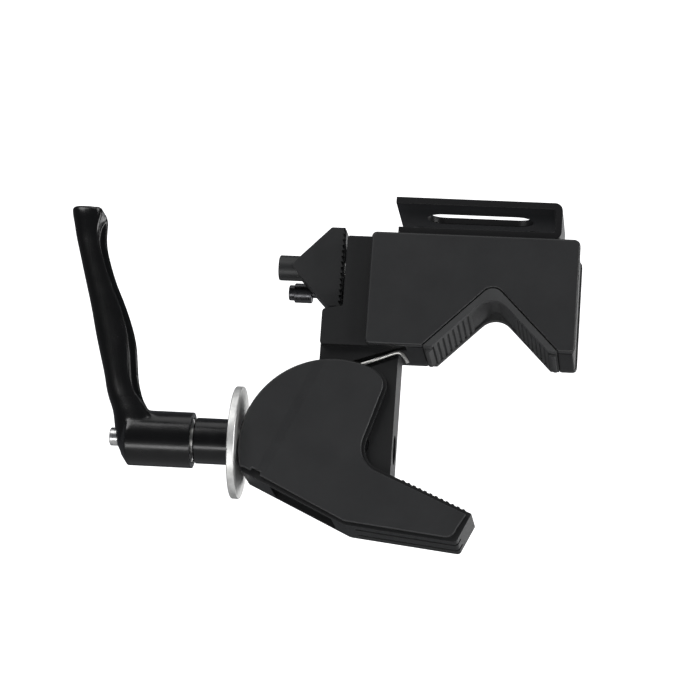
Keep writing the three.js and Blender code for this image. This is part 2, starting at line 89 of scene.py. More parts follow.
CREASE, CREASE_STEP, CREASE_BAND = ((-67.5, -31.2), (-84.6, -70.1)), 0.5, 4.2
NOTCH = [(-86.7, -70.8), (-83.3, -72.4), (-84.6, -75.4), (-88.0, -73.8)]


# ---- Geometry helpers ----
def new_object(name, mesh):
    thing = bpy.data.objects.new(name, mesh)
    bpy.context.scene.collection.objects.link(thing)
    return thing


def from_faces(name, points, faces):
    """A mesh from points in millimetres."""
    mesh = bpy.data.meshes.new(name)
    mesh.from_pydata([tuple(c * MM for c in p) for p in points], [], faces)
    build = bmesh.new()
    build.from_mesh(mesh)
    bmesh.ops.recalc_face_normals(build, faces=build.faces)
    build.to_mesh(mesh)
    build.free()
    return new_object(name, mesh)


def settle(thing):
    """Turns the modifiers into plain mesh."""
    bpy.context.view_layer.update()
    seen = thing.evaluated_get(bpy.context.evaluated_depsgraph_get())
    mesh = bpy.data.meshes.new_from_object(seen)
    thing.modifiers.clear()
    thing.data = mesh
    return thing


def combine(thing, tool, operation):
    cut = thing.modifiers.new("combine", "BOOLEAN")
    cut.operation = operation
    cut.solver = "EXACT"
    cut.object = tool
    settle(thing)
    bpy.data.objects.remove(tool)
    return thing


def carve(thing, *tools):
    for tool in tools:
        combine(thing, tool, "DIFFERENCE")
    return thing


def soften(thing, width, segments=3, angle=30):
    """Rounded edges with flat faces kept flat."""
    clean = bmesh.new()
    clean.from_mesh(thing.data)
    bmesh.ops.remove_doubles(clean, verts=clean.verts, dist=0.004 * MM)
    bmesh.ops.dissolve_limit(clean, angle_limit=math.radians(0.5), verts=clean.verts, edges=clean.edges)
    clean.to_mesh(thing.data)
    clean.free()
    bevel = thing.modifiers.new("soften", "BEVEL")
    bevel.width = width * MM
    bevel.segments = segments
    bevel.limit_method = "ANGLE"
    bevel.angle_limit = math.radians(angle)
    bevel.use_clamp_overlap = True
    settle(thing)
    smooth(thing)
    return thing


def smooth(thing, angle=50):
    thing.data.shade_smooth()
    thing.data.set_sharp_from_angle(angle=math.radians(angle))
    flat = thing.modifiers.new("normals", "WEIGHTED_NORMAL")
    flat.keep_sharp = True
    return settle(thing)


def arc(cx, cz, r, start, end, steps):
    """Points on an arc, angles in degrees."""
    out = []
    for i in range(steps + 1):
        a = math.radians(start + (end - start) * i / steps)
        out.append((cx + r * math.cos(a), cz + r * math.sin(a)))
    return out


def rounded(corners, steps=6):
    """A closed outline from corners (a, b, radius)."""
    out = []
    n = len(corners)
    for i, corner in enumerate(corners):
        here = Vector(corner[:2])
        r = corner[2] if len(corner) > 2 else 0
        if r == 0:
            out.append(tuple(here))
            continue
        a = (Vector(corners[i - 1][:2]) - here).normalized()
        b = (Vector(corners[(i + 1) % n][:2]) - here).normalized()
        half = a.angle(b) / 2
        start = here + a * (r / math.tan(half))
        end = here + b * (r / math.tan(half))
        centre = here + (a + b).normalized() * (r / math.sin(half))
        for k in range(steps + 1):
            spoke = (start - centre).slerp(end - centre, k / steps).normalized() * r
            out.append(tuple(centre + spoke))
    return out


def prism(name, outline, low, high, axis="Y"):
    """An outline made solid between two depths along an axis."""
    def lift(a, b, d):
        return {"Y": (a, d, b), "Z": (a, b, d), "X": (d, a, b)}[axis]
    n = len(outline)
    points = [lift(a, b, low) for a, b in outline] + [lift(a, b, high) for a, b in outline]
    faces = [tuple(range(n)), tuple(range(2 * n - 1, n - 1, -1))]
    faces += [(i, (i + 1) % n, n + (i + 1) % n, n + i) for i in range(n)]
    return from_faces(name, points, faces)


def block(name, x0, x1, y0, y1, z0, z1):
    return prism(name, [(x0, z0), (x1, z0), (x1, z1), (x0, z1)], y0, y1)


def rod(name, a, b, r, low, high, axis="Y", sides=40):
    return prism(name, arc(a, b, r, 0, 360 - 360 / sides, sides - 1), low, high, axis)


def turned(name, profile, y, z, sides=64):
    """A closed profile [(x, r)] turned about a line along X."""
    n = len(profile)
    points = []
    for k in range(sides):
        a = 2 * math.pi * k / sides
        points += [(x, y + r * math.sin(a), z + r * math.cos(a)) for x, r in profile]
    faces = []
    for k in range(sides):
        for i in range(n):
            a, b = k * n + i, k * n + (i + 1) % n
            c, d = ((k + 1) % sides) * n + (i + 1) % n, ((k + 1) % sides) * n + i
            faces.append((a, b, c, d))
    thing = from_faces(name, points, faces)
    weld = bmesh.new()
    weld.from_mesh(thing.data)
    bmesh.ops.remove_doubles(weld, verts=weld.verts, dist=0.0005 * MM)
    bmesh.ops.dissolve_degenerate(weld, edges=weld.edges, dist=0.0005 * MM)
    bmesh.ops.recalc_face_normals(weld, faces=weld.faces)
    weld.to_mesh(thing.data)
    weld.free()
    return thing


def wire(name, points, r):
    """A round wire along a smooth line, as a mesh."""
    line = bpy.data.curves.new(name, "CURVE")
    line.dimensions = "3D"
    line.bevel_depth = r * MM
    line.bevel_resolution = 5
    line.resolution_u = 6
    line.use_fill_caps = True
    path = line.splines.new("NURBS")
    path.points.add(len(points) - 1)
    for spot, p in zip(path.points, points):
        spot.co = (p[0] * MM, p[1] * MM, p[2] * MM, 1)
    path.order_u = 3
    path.use_endpoint_u = True
    thing = new_object(name, line)
    bpy.context.view_layer.update()
    seen = thing.evaluated_get(bpy.context.evaluated_depsgraph_get())
    mesh = bpy.data.meshes.new_from_object(seen)
    bpy.data.objects.remove(thing)
    out = new_object(name, mesh)
    out.data.shade_smooth()
    return out


def coil(name, x0, x1, r, wire_r, turns, y, z):
    points = []
    steps = int(turns * 20)
    for i in range(steps + 1):
        a = 2 * math.pi * turns * i / steps
        points.append((x0 + (x1 - x0) * i / steps, y + r * math.cos(a), z + r * math.sin(a)))
    return wire(name, points, wire_r)


# ---- Material helpers ----
def material(name, color, rough, metal=0.0):
    mat = bpy.data.materials.new(name)
    mat.use_nodes = True
    shader = mat.node_tree.nodes["Principled BSDF"]
    shader.inputs["Base Color"].default_value = (*color, 1)
    shader.inputs["Roughness"].default_value = rough
    shader.inputs["Metallic"].default_value = metal
    return mat, mat.node_tree, shader


def noise(tree, scale, detail=3.0, rough=0.55, stretch=(1, 1, 1)):
    """Noise in the object's own coordinates."""
    place = tree.nodes.new("ShaderNodeTexCoord")
    size = tree.nodes.new("ShaderNodeMapping")
    size.inputs["Scale"].default_value = stretch
    tree.links.new(place.outputs["Object"], size.inputs["Vector"])
    grain = tree.nodes.new("ShaderNodeTexNoise")
    grain.inputs["Scale"].default_value = scale
    grain.inputs["Detail"].default_value = detail
    grain.inputs["Roughness"].default_value = rough
    tree.links.new(size.outputs["Vector"], grain.inputs["Vector"])
    return grain.outputs["Fac"]


def spread(tree, value, low, high, start=0.3, end=0.7):
    """Maps a 0..1 value to a range."""
    ramp = tree.nodes.new("ShaderNodeMapRange")
    ramp.inputs["From Min"].default_value = start
    ramp.inputs["From Max"].default_value = end
    ramp.inputs["To Min"].default_value = low
    ramp.inputs["To Max"].default_value = high
    tree.links.new(value, ramp.inputs["Value"])
    return ramp.outputs["Result"]


def tint(tree, value, dark, light):
    mix = tree.nodes.new("ShaderNodeMix")
    mix.data_type = "RGBA"
    mix.inputs["A"].default_value = (*dark, 1)
    mix.inputs["B"].default_value = (*light, 1)
    tree.links.new(value, mix.inputs["Factor"])
    return mix.outputs["Result"]


def bump(tree, shader, height, strength, depth_mm):
    node = tree.nodes.new("ShaderNodeBump")
    node.inputs["Strength"].default_value = strength
    node.inputs["Distance"].default_value = depth_mm * MM
    tree.links.new(height, node.inputs["Height"])
    tree.links.new(node.outputs["Normal"], shader.inputs["Normal"])


def grained(name, dark, light, rough, grain_scale, depth_mm, shine, patch=60):
    """A surface with fine grain and slow, faint changes of tone."""
    rough_low, rough_high = rough
    mat, tree, shader = material(name, light, rough_high)
    shader.inputs["Specular IOR Level"].default_value = shine
    patches = spread(tree, noise(tree, patch, 5), 0, 1)
    tree.links.new(tint(tree, patches, dark, light), shader.inputs["Base Color"])
    fine = noise(tree, grain_scale, 4, 0.6)
    tree.links.new(spread(tree, fine, rough_low, rough_high), shader.inputs["Roughness"])
    bump(tree, shader, fine, 0.6, depth_mm)
    return mat


def scratched_metal(name, base, rough):
    """Bare or plated metal: faintly mottled and finely scratched."""
    mat, tree, shader = material(name, base, rough, 1.0)
    dull = tuple(0.72 * c for c in base)
    mottle = spread(tree, noise(tree, 260, 6, 0.65), 0, 1)
    tree.links.new(tint(tree, mottle, dull, base), shader.inputs["Base Color"])
    scratch = noise(tree, 900, 5, 0.7, (1, 0.12, 0.6))
    tree.links.new(spread(tree, scratch, rough - 0.08, rough + 0.14), shader.inputs["Roughness"])
    bump(tree, shader, scratch, 0.35, 0.05)
    return mat


def drawn_wire(name, base, rough):
    """Drawn spring wire: smooth, with a slow change of sheen."""
    mat, tree, shader = material(name, base, rough, 1.0)
    dull = tuple(0.8 * c for c in base)
    slow = noise(tree, 220, 3)
    tree.links.new(tint(tree, spread(tree, slow, 0, 1), dull, base), shader.inputs["Base Color"])
    tree.links.new(spread(tree, slow, rough, rough + 0.1), shader.inputs["Roughness"])
    return mat


def gloss_coat(name):
    """Gloss black coat with a faint orange peel."""
    mat, tree, shader = material(name, (0.0028, 0.0028, 0.003), 0.3)
    tree.links.new(spread(tree, noise(tree, 150, 4), 0.19, 0.28), shader.inputs["Roughness"])
    shader.inputs["Specular IOR Level"].default_value = 0.35
    shader.inputs["Coat Weight"].default_value = 0.15
    shader.inputs["Coat Roughness"].default_value = 0.16
    bump(tree, shader, noise(tree, 1900, 3), 0.35, 0.03)
    return mat


def make_materials():
    return {
        "cast": grained("cast_black_coat", (0.0048, 0.005, 0.0053), (0.0078, 0.008, 0.0084),
                        (0.42, 0.60), 2600, 0.05, 0.35),
        "cover": grained("cover_grain", (0.0165, 0.0168, 0.0175), (0.0215, 0.0218, 0.0225),
                         (0.36, 0.50), 3200, 0.035, 0.4),
        "rubber": grained("rubber", (0.030, 0.0305, 0.031), (0.042, 0.0425, 0.043),
                          (0.62, 0.80), 1700, 0.06, 0.4),
        "sheet": grained("satin_sheet", (0.005, 0.005, 0.0055), (0.008, 0.008, 0.0085),
                         (0.34, 0.48), 2400, 0.02, 0.3),
        "gloss": gloss_coat("gloss_black_coat"),
        "zinc": scratched_metal("zinc_plate", (0.92, 0.92, 0.90), 0.46),
        "bright": scratched_metal("bright_steel", (0.74, 0.74, 0.73), 0.24),
        "dark_steel": scratched_metal("dark_steel", (0.10, 0.10, 0.105), 0.30),
        "wire": drawn_wire("drawn_wire", (0.9, 0.89, 0.86), 0.42),
        "brass": scratched_metal("brass", (0.55, 0.39, 0.17), 0.30),
    }


MATS = make_materials()


def fit(thing, body, slot, look, *nodes):
    """Gives a piece its material and its body, and hides the CAD nodes it stands for."""
    thing.data.materials.clear()
    thing.data.materials.append(MATS[look])
    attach(thing, body)
    if nodes:
        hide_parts(*nodes)


def carry(node, look):
    """Shows a CAD node as it is, with a procedural material."""
    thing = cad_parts[node]
    thing.data.materials.clear()
    thing.data.materials.append(MATS[look])
    smooth_cad(thing)


def smooth_cad(thing):
    thing.data.shade_smooth()
    thing.data.set_sharp_from_angle(angle=math.radians(35))


# ---- Upper jaw ----
def vee(grow, low, steps=10, r=None):
    """The V's outline, grown outwards from the seat and closed at z = low."""
    apex = V_APEX + grow * math.sqrt(2)
    half = apex - low
    return rounded([(-half, low), (0, apex, r or V_R + grow), (half, low)], steps)


def cover_outline():
    grow = PAD_T + GAP
    apex = V_APEX + grow * math.sqrt(2)
    half = apex - BOTTOM
    return rounded([(COVER_LEFT, BOTTOM, 2), (-half, BOTTOM, 1.3), (0, apex, V_R + grow),
                    (half, BOTTOM, 1.3), (JAW_END, BOTTOM, 1.8), (JAW_END, TOP, 2.5),
                    (COVER_LEFT, TOP, 2)], 7)


def upper_cover(name, y0, y1):
    return prism(name, cover_outline(), y0, y1)


def front_cover():
    piece = soften(upper_cover("front_cover_shell", -HALF_W, -HALF_W + COVER_T), 0.9, 4)
    fit(piece, "frame", "cover_black", "cover", "front_cover")


def rear_cover():
    piece = upper_cover("rear_cover_shell", HALF_W - COVER_T, HALF_W)
    for x, z in COVER_SCREWS:
        carve(piece, rod("hole", x, z, COVER_SCREW_BORE, 0, 30),
              rod("hole", x, z, COVER_HEAD_BORE, HALF_W - COVER_HEAD_SUNK, 30))
    fit(soften(piece, 0.55, 3), "frame", "cover_black", "cover", "rear_cover")


def casting_outline():
    right = JAW_END - 0.6
    return rounded([(BLOCK_LEFT, BOTTOM, 1), (right, BOTTOM, 1), (right, TOP, 2), (-38, TOP),
                    (-38, BLOCK_TOP), (BLOCK_UPPER, BLOCK_TOP, 1),
                    (BLOCK_UPPER, BLOCK_SHELF + 1.5, 1), (BLOCK_LEFT, BLOCK_SHELF, 1.5)], 5)


def casting():
    body = prism("frame_body", casting_outline(), -CORE_W, CORE_W)
    spine = rounded([(BLOCK_LEFT, BOTTOM + 2), (BLOCK_LEFT, SPINE_NECK, 2),
                     (SPINE_LEFT, SPINE_NECK - 6, 3), (SPINE_LEFT, SPINE_BOTTOM, 5),
                     (SPINE_RIGHT, SPINE_BOTTOM, 1), (SPINE_RIGHT, BOTTOM + 2)])
    carve(body, prism("cut", vee(PAD_T + GAP, BOTTOM - 20), -30, 30))
    combine(body, prism("spine", spine, -SPINE_HALF, SPINE_HALF), "UNION")
    hexagon = arc(HEX_X, 0, HEX_FLATS / math.sqrt(3), 30, 330, 5)
    carve(body, prism("cut", hexagon, HEX_FLOOR, 40, "Z"))
    carve(body, rod("cut", HINGE_X, HINGE_Z, BUSH_R + GAP, -20, 20))
    carve(body, rod("cut", HINGE_X, HINGE_Z, COIL_ROOM_R, -20, COIL_ROOM_END))
    carve(body, prism("cut", [(-52, -31.5), (-32, -23.6), (-32, -19.4), (-56, -28)], -14, -7.6))
    carve(body, rod("cut", NUT_X, SCREW_Z, NUT_R + GAP, -20, 20))
    carve(body, rod("cut", 0, SCREW_Z, SCREW_R + 0.8, -70, -20, "X"))
    carve(body, rod("cut", 0, FAN_Z, WING_BORE_R, -70, HEX_X, "X"))
    carve(body, rod("cut", BUTTON_Y, BUTTON_Z, BUTTON_BORE_R, -70, -36, "X"))
    carve(body, rod("cut", BUTTON_Y, BUTTON_Z, BUTTON_SPRING_BORE_R, -60, -55, "X"))
    for x in BRACKET_SCREWS:
        carve(body, rod("cut", x, 0, BRACKET_SCREW_BORE, 10, 40, "Z"))
    for x, z in COVER_SCREWS:
        carve(body, rod("cut", x, z, COVER_SCREW_BORE, -30, 30))
    fit(soften(body, 0.35, 2), "frame", "cast_black", "cast", "frame_casting")


def flank_point(side, s, depth):
    """A point s along a flank from the apex, and depth below the seat's surface (into the pad)."""
    c = math.sqrt(0.5)
    return (side * (s * c + depth * c), V_APEX - s * c + depth * c)


def vee_band(name, inner, outer, low, y0, y1, r=None):
    """A V-shaped band between two offsets of the seat, cut off at z = low."""
    inside = vee(inner, low, 10, r)
    outside = vee(outer, low)
    return prism(name, inside + outside[::-1], y0, y1)


def v_pad():
    """Rims at the front and rear, and between them a bed with ribs on each flank and feet below."""
    outer, rim_in = HALF_W, HALF_W - RIM_W
    foot = BOTTOM - PAD_FOOT
    bed = BED_DEPTH
    pieces = [vee_band("v_pad_rubber", 0, PAD_T, BOTTOM, -outer, -rim_in, RIM_R),
              vee_band("rim", 0, PAD_T, BOTTOM, rim_in, outer, RIM_R),
              vee_band("bed", bed, PAD_T, BOTTOM, -rim_in, rim_in)]
    for side in (-1, 1):
        inner_x, outer_x = V_APEX - BOTTOM, V_APEX + PAD_T * math.sqrt(2) - foot
        corners = [(inner_x, BOTTOM + 0.01), (inner_x + PAD_FOOT, foot), (min(FOOT_END, outer_x), foot),
                   (FOOT_END, BOTTOM + 0.01)]
        pieces.append(prism("foot", [(side * x, z) for x, z in corners], 1 - CORE_W, CORE_W - 1))
        for k in range(RIBS):
            s0 = RIB_START + k * RIB_PITCH
            quad = [flank_point(side, s, d) for s, d in
                    ((s0, 0.12), (s0 + 1.35, 0.12), (s0 + 1.6, bed + 0.1), (s0 - 0.25, bed + 0.1))]
            pieces.append(prism("rib", quad, 0.3 - rim_in, rim_in - 0.3))
    for piece in pieces:
        soften(piece, 0.2, 2)
    body = join(*pieces)
    fit(body, "frame", "rubber_pad", "rubber", "v_pad")


def top_bracket():
    low, t = TOP + GAP, BRACKET_T
    outline = rounded([(BRACKET_LEFT, low), (BRACKET_RIGHT, low, 3), (BRACKET_RIGHT, BRACKET_TOP, 3),
                       (BRACKET_LEFT, BRACKET_TOP), (BRACKET_LEFT, BRACKET_TOP - t),
                       (BRACKET_RIGHT - t, BRACKET_TOP - t, 1), (BRACKET_RIGHT - t, low + t, 1),
                       (BRACKET_LEFT, low + t)], 8)
    body = prism("bracket_sheet", outline, BRACKET_FRONT, BRACKET_REAR)
    slot = arc(SLOT_X0 + SLOT_R, SLOT_Y, SLOT_R, 90, 270, 20)
    slot += arc(SLOT_X1 - SLOT_R, SLOT_Y, SLOT_R, -90, 90, 20)
    carve(body, prism("cut", slot, BRACKET_TOP - 5, BRACKET_TOP + 3, "Z"))
    carve(body, block("cut", BRACKET_LEFT - 1, HEX_X + HEX_FLATS / 2 + 0.6, -20, 20, TOP, TOP + 4))
    for x in BRACKET_SCREWS:
        carve(body, rod("cut", x, 0, BRACKET_CLEAR_BORE, 20, 30, "Z"))
    fit(soften(body, 0.2, 2), "frame", "sheet_black", "sheet", "top_bracket")


def cap_screw(name, a, b, axis, seat, head_r, head_t, shank_r, tip, sign):
    """A socket-head screw: the head goes from its seat by head_t, the shank back to its tip."""
    end = seat + sign * head_t
    head = rod(name, a, b, head_r, min(seat, end), max(seat, end), axis, 48)
    depth = (end - sign * head_t * 0.6, end + sign)
    socket = arc(a, b, head_r * 0.46, 0, 300, 5)
    carve(head, prism("cut", socket, min(depth), max(depth), axis))
    soften(head, 0.28, 3)
    shank = rod("shank", a, b, shank_r, min(tip, seat), max(tip, seat), axis, 32)
    join(head, soften(shank, 0.3, 2))
    return head


def join(thing, *others):
    """Adds other meshes to a piece, as loose shells."""
    build = bmesh.new()
    build.from_mesh(thing.data)
    for other in others:
        build.from_mesh(other.data)
        bpy.data.objects.remove(other)
    build.to_mesh(thing.data)
    build.free()
    return thing


def frame_screws():
    for i, (x, z) in enumerate(COVER_SCREWS):
        piece = cap_screw(f"cover_fixing_{i + 1}", x, z, "Y", HALF_W - 2.1, 2.9, 1.9, 1.5, -CORE_W + 1, 1)
        fit(piece, "frame", "zinc_steel", "bright", f"cover_screw_{i + 1}")
    seat = TOP + 2 * GAP + BRACKET_T
    for i, x in enumerate(BRACKET_SCREWS):
        piece = cap_screw(f"bracket_fixing_{i + 1}", x, 0, "Z", seat, 4.6, 2.8, 2.0, 11, 1)
        fit(piece, "frame", "zinc_steel", "dark_steel", f"bracket_screw_{i + 1}")


def hinge_spring():
    """The long leg hooks on to the upper jaw; the coils sit round the hinge."""
    points = [(-31.2, COIL_FRONT - 0.3, -26.2), (-32.4, COIL_FRONT - 0.2, -24.2),
              (-33.6, COIL_FRONT - 0.1, -22.8), (-35.2, COIL_FRONT, -22.1),
              (-40, COIL_FRONT, -24.1), (-47.7, COIL_FRONT, -27.3)]
    start, steps = math.radians(COIL_START), 62
    for i in range(steps + 1):
        turn = i / steps * COIL_TURNS
        a = start + turn * 2 * math.pi
        x, z = HINGE_X + COIL_R * math.cos(a), HINGE_Z + COIL_R * math.sin(a)
        points.append((x, COIL_FRONT + turn * COIL_PITCH, z))
    fit(wire("hinge_spring_wire", points, HINGE_WIRE_R), "frame", "zinc_steel", "wire", "torsion_spring")


# ---- Lower jaw ----
def jaw_outline(inset):
    lobe_r, waist_r = LOBE_R - inset, WAIST_R + inset
    join_at = math.degrees(math.atan2(LOBE_Z - JAW_Z, LOBE_X - JAW_X))
    down = math.degrees(ARM_SLOPE) - 90
    out = arc(JAW_X, JAW_Z, JAW_R - inset * 0.4, 195, join_at, 44)
    out += arc(LOBE_X, LOBE_Z, lobe_r, join_at, FLANK, 16)[1:]
    out += arc(WAIST_X, WAIST_Z, waist_r, FLANK + 180, down + 360, 16)
    touch = out[-1]
    tip = ARM_TIP[0] - inset * 1.5
    out.append((tip, touch[1] + (tip - touch[0]) * math.tan(ARM_SLOPE)))
    toe_x, toe_z = ARM_TOE[0] - inset, ARM_TOE[1] + inset
    under = (ARM_UNDER[0], ARM_UNDER[1] + inset)
    belly = (BELLY[0], BELLY[1] + inset)
    out += rounded([(toe_x + 1.5, -87), (toe_x, toe_z, 1.8 + 2 * inset), under], 5)[1:-1]
    out += rounded([under, (HEEL[0], HEEL[1] + inset, 7), belly], 6)[1:-1]
    out.append((BACK_LOW[0] + inset, BACK_LOW[1] + inset))
    return out


def arm_strip(rise, depth, start, end):
    cos, sin = math.cos(ARM_SLOPE), math.sin(ARM_SLOPE)
    spots = ((start, -depth), (end, -depth), (end, rise), (start, rise))
    return [(ARM_TIP[0] - cos * s - sin * t, ARM_TIP[1] - sin * s + cos * t) for s, t in spots]


def jaw_casting():
    body = prism("jaw_body", jaw_outline(0), -JAW_HALF, JAW_HALF)
    room = rod("room", HINGE_X, HINGE_Z, SWEEP_R, -JAW_SLOT, JAW_SLOT, "Y", 96)
    combine(room, block("more", -80, -56, -JAW_SLOT, JAW_SLOT, -95, -70), "UNION")
    combine(room, block("more", -110, -70, -JAW_SLOT, JAW_SLOT, SCREW_Z - 6.2, -20), "UNION")
    carve(body, room)
    carve(body, rod("cut", HINGE_X, HINGE_Z, PIN_R + 0.02, -20, 20))
    recess = arm_strip(4, PAD_BED + GAP, PAD_FROM - GAP, PAD_TO + GAP)
    carve(body, prism("cut", recess, -JAW_SLOT, JAW_SLOT))
    for y in (-5.6, 5.6):
        groove = rounded([(-47, -89.9), (-14.5, -93.6, 1), (-7.5, -91.4), (-4, -100), (-47, -97)])
        carve(body, prism("cut", groove, y - 1.5, y + 1.5))
    for x, z in JAW_SCREWS:
        carve(body, rod("cut", x, z, JAW_SCREW_BORE, 10.5, 20))
    fit(soften(body, 0.35, 2), "lower_jaw", "cast_black", "cast", "moving_jaw")


def crease_side(x, z):
    """Distance in mm from the crease line, positive towards the arm."""
    (x0, z0), (x1, z1) = CREASE
    length = math.hypot(x1 - x0, z1 - z0)
    return ((z1 - z0) * (x - x0) - (x1 - x0) * (z - z0)) / -length


def add_crease(piece, step, band, sign):
    """Sinks the outer face by a soft step on the arm's side of the crease. sign is the face's side."""
    (x0, z0), (x1, z1) = CREASE
    normal = Vector((-(z1 - z0), 0, x1 - x0)).normalized()
    build = bmesh.new()
    build.from_mesh(piece.data)
    for k in range(7):
        spot = Vector((x0, 0, z0)) * MM + normal * (band * MM * k / 6)
        everything = build.verts[:] + build.edges[:] + build.faces[:]
        bmesh.ops.bisect_plane(build, geom=everything, dist=1e-7, plane_co=spot, plane_no=normal)
    for vert in build.verts:
        away = crease_side(vert.co.x / MM, vert.co.z / MM) / band
        away = min(1.0, max(0.0, away))
        drop = away * away * (3 - 2 * away)
        if abs(vert.co.y) > (JAW_HALF + GAP + 0.7) * MM:
            vert.co.y -= sign * step * MM * drop
    build.to_mesh(piece.data)
    build.free()


def jaw_covers():
    inner = JAW_HALF + GAP
    outer = inner + JAW_COVER_T
    front = prism("jaw_front_shell", jaw_outline(RIM), -outer, -inner)
    carve(front, prism("cut", NOTCH, -20, 0))
    soften(front, 0.8, 4)
    add_crease(front, CREASE_STEP, CREASE_BAND, -1)
    smooth(front, 60)
    fit(front, "lower_jaw", "cover_black", "cover", "jaw_front_cover")
    rear = prism("jaw_rear_shell", jaw_outline(RIM), inner, outer)
    for x, z in JAW_SCREWS:
        carve(rear, rod("cut", x, z, JAW_SCREW_BORE, 0, 30))
    fit(soften(rear, 0.6, 3), "lower_jaw", "cover_black", "cover", "jaw_rear_cover")


def jaw_small_parts():
    half = JAW_SLOT - GAP
    body = prism("jaw_pad_rubber", arm_strip(-0.2, PAD_BED, PAD_FROM, PAD_TO), -half, half)
    pitch = (PAD_TO - PAD_FROM) / PAD_TEETH
    for i in range(PAD_TEETH):
        tooth = arm_strip(0.7, 2, PAD_FROM + (i + 0.25) * pitch, PAD_FROM + (i + 0.75) * pitch)
        combine(body, prism("tooth", tooth, -half, half), "UNION")
    fit(soften(body, 0.18, 2), "lower_jaw", "rubber_pad", "rubber", "jaw_pad")
    seat = JAW_HALF + 2 * GAP + JAW_COVER_T
    for i, (x, z) in enumerate(JAW_SCREWS):
        piece = cap_screw(f"jaw_fixing_{i + 1}", x, z, "Y", seat, 2.9, 1.6, 1.5, 10.8, 1)
        fit(piece, "lower_jaw", "zinc_steel", "bright", f"jaw_cover_screw_{i + 1}")
    pin_half = JAW_HALF - 0.1
    pin = soften(rod("pivot_pin", HINGE_X, HINGE_Z, PIN_R, -pin_half, pin_half, "Y", 48), 0.4, 3)
    fit(pin, "lower_jaw", "zinc_steel", "bright", "hinge_pin")


# ---- Clamping screw ----
def threaded_rod(name, x0, x1, r, pitch, depth, y, z, per_turn=28, per_pitch=6):
    """A rod with a right-hand thread."""
    rows = int((x1 - x0) / pitch * per_pitch)
    points = []
    for i in range(rows + 1):
        x = x0 + (x1 - x0) * i / rows
        fade = min(1.0, (x - x0) / pitch, (x1 - x) / pitch)
        for k in range(per_turn):
            turn = k / per_turn
            phase = (x / pitch - turn) % 1.0
            tooth = min(1.0, abs(phase - 0.5) * 2.4)
            radius = r - depth * (1 - tooth) - (1 - fade) * depth
            a = 2 * math.pi * turn
            points.append((x, y + radius * math.sin(-a), z + radius * math.cos(a)))
    faces = []
    for i in range(rows):
        for k in range(per_turn):
            a, b = i * per_turn + k, i * per_turn + (k + 1) % per_turn
            faces.append((a, b, b + per_turn, a + per_turn))
    faces.append(tuple(range(per_turn)))
    faces.append(tuple(rows * per_turn + k for k in range(per_turn)))
    thing = from_faces(name, points, faces)
    thing.data.shade_smooth()
    thing.data.set_sharp_from_angle(angle=math.radians(70))
    return thing


def ring_profile(x0, x1, r, bore, edge):
    """A ring's section with rounded outer edges."""
    out = [(x0, bore)]
    out += [(x0 + edge - edge * math.cos(a), r - edge + edge * math.sin(a))
            for a in (math.radians(15 * k) for k in range(7))]
    out += [(x1 - edge + edge * math.sin(a), r - edge + edge * math.cos(a))
            for a in (math.radians(15 * k) for k in range(7))]
    return out + [(x1, bore)]


def screw_parts():
    rod_piece = threaded_rod("clamping_thread", THREAD_START, THREAD_END, SCREW_R,
                             THREAD_PITCH, THREAD_DEPTH, 0, SCREW_Z)
    profile = [(NECK_END, 0), (NECK_END, SCREW_R - 0.4), (NECK_END + 0.4, SCREW_R),
               (THREAD_START, SCREW_R), (THREAD_START + 0.4, SCREW_R - 0.4), (THREAD_START + 0.4, 0)]
    neck = turned("neck", profile, 0, SCREW_Z)
    carve(neck, rod("cut", 0, SCREW_Z, 1.9, -130, -100, "X"))
    join(rod_piece, smooth(neck))
    fit(rod_piece, "screw", "zinc_steel", "zinc", "clamp_screw")
    plate = ring_profile(WASHER_LEFT, WASHER_RIGHT, WASHER_R, SCREW_R + 0.4, 0.55)
    washer = smooth(turned("thrust_plate", plate, 0, SCREW_Z, 128))
    fit(washer, "screw_carriage", "zinc_steel", "zinc", "thrust_washer")
    collar = [(-111.2, 5.2), (-111.2, 8.2), (-110.6, 8.8), (-97.4, 8.8), (-97.1, 8.7),
              (-96.8, 8.4), (-96.6, 8.0), (-96.6, 5.2)]
    sleeve = smooth(turned("screw_sleeve", collar, 0, SCREW_Z, 96), 40)
    fit(sleeve, "screw", "gloss_black", "gloss", "screw_collar")
    profile = [(-144.2, 0), (-144.2, 2.9), (-144.05, 3.3), (-143.8, 3.5), (-138.5, 3.5),
               (-138.5, 1.6), (-110, 1.6), (-110, 0)]
    head = turned("retaining_screw", profile, 0, SCREW_Z, 48)
    carve(head, prism("cut", arc(0, SCREW_Z, 1.6, 0, 300, 5), -150, -142.4, "X"))
    fit(smooth(head, 35), "screw", "zinc_steel", "bright", "lever_screw")
    spring = coil("return_coil", -137.9, -125.2, 2.75, 0.55, 7, 0, SCREW_Z)
    fit(spring, "screw", "zinc_steel", "wire", "lever_spring")


